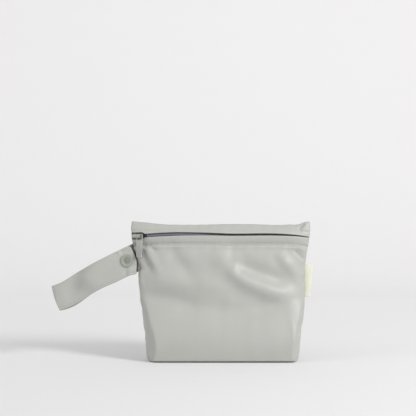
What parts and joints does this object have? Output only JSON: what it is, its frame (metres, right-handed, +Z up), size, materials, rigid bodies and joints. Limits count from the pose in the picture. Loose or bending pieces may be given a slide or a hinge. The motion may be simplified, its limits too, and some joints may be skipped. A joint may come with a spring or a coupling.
{
  "type": "cloth diaper wet bag",
  "caption": "Small laminated-knit wet bag with boxed base, front zip and pull, snap-closed wrist strap and blank side label.",
  "frame": {"origin": "centre of the underside of the boxed base, on the surface it stands on", "axes": "+X along the zip, to the right of someone facing the front; -Y out of the front; +Z up"},
  "size_m": [0.2634, 0.0385, 0.1393],
  "materials": {
    "laminated_knit": "soft satin laminated polyester knit, sage grey",
    "zip_tape": "matt woven polyester tape, grey",
    "zip_coil": "satin nylon coil, grey",
    "lacquered_zinc": "grey lacquered zinc casting",
    "snap_resin": "moulded acetal snap, sage grey",
    "label_cotton": "matt woven cotton tape, cream, blank"
  },
  "bodies": {
    "pouch": {"front_base_panel": "laminated_knit", "back_panel": "laminated_knit", "top_band": "laminated_knit", "wrist_strap": "laminated_knit", "zip_tape_upper": "zip_tape", "zip_tape_lower": "zip_tape", "zip_coil_upper": "zip_coil", "zip_coil_lower": "zip_coil", "zip_slider": "lacquered_zinc", "snap_front_cap": "snap_resin", "snap_socket": "snap_resin", "snap_stud": "snap_resin", "snap_back_cap": "snap_resin", "side_label": "label_cotton"},
    "pull": {"zip_pull": "lacquered_zinc"}
  },
  "joints": [
    {"name": "pull_swing", "type": "hinge", "parent": "pouch", "child": "pull", "pos_m": [-0.08297, -0.00715, 0.12464], "axis": [-0.266, -0.964, 0], "range_deg": [-6, 170]}
  ]
}
